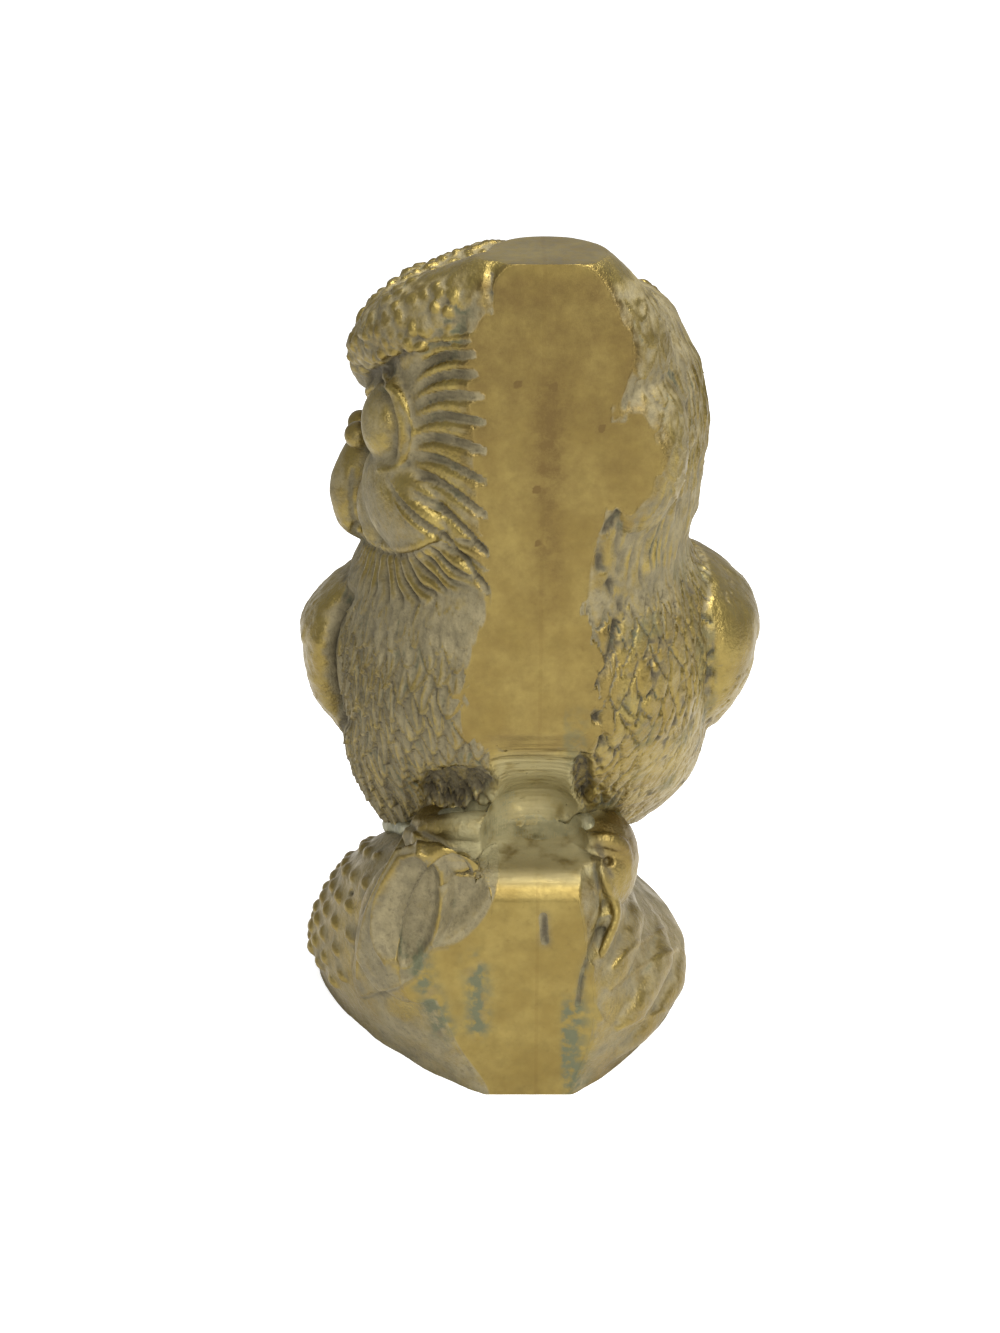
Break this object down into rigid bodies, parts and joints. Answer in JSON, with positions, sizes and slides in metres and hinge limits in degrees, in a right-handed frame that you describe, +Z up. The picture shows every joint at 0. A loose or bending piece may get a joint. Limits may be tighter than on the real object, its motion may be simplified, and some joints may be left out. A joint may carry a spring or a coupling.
{
  "type": "owl figurine",
  "caption": "Hollow-cast brass owl perched on a rock mound, head turned sideways, breast seam ground to a flat band.",
  "frame": {"origin": "on the floor, under the middle of the figurine's bounding box", "axes": "+Z up, the breast and the wide flat ground band face -Y, the head faces -X"},
  "size_m": [0.0724, 0.057, 0.125],
  "materials": {
    "cast_brass": "aged cast brass: satin olive-gold where it is ground or rubbed, grey-brown patina in the carving",
    "braze": "brazing brass, ground flush with the castings, slightly darker",
    "soft_solder": "dull grey-green joint metal"
  },
  "bodies": {
    "root": {"bird_face_half": "cast_brass", "bird_nape_half": "cast_brass", "bird_seam_braze": "braze", "mound_leaf_half": "cast_brass", "mound_bark_half": "cast_brass", "mound_seam_braze": "braze", "ankle_solder": "soft_solder"}
  },
  "joints": []
}
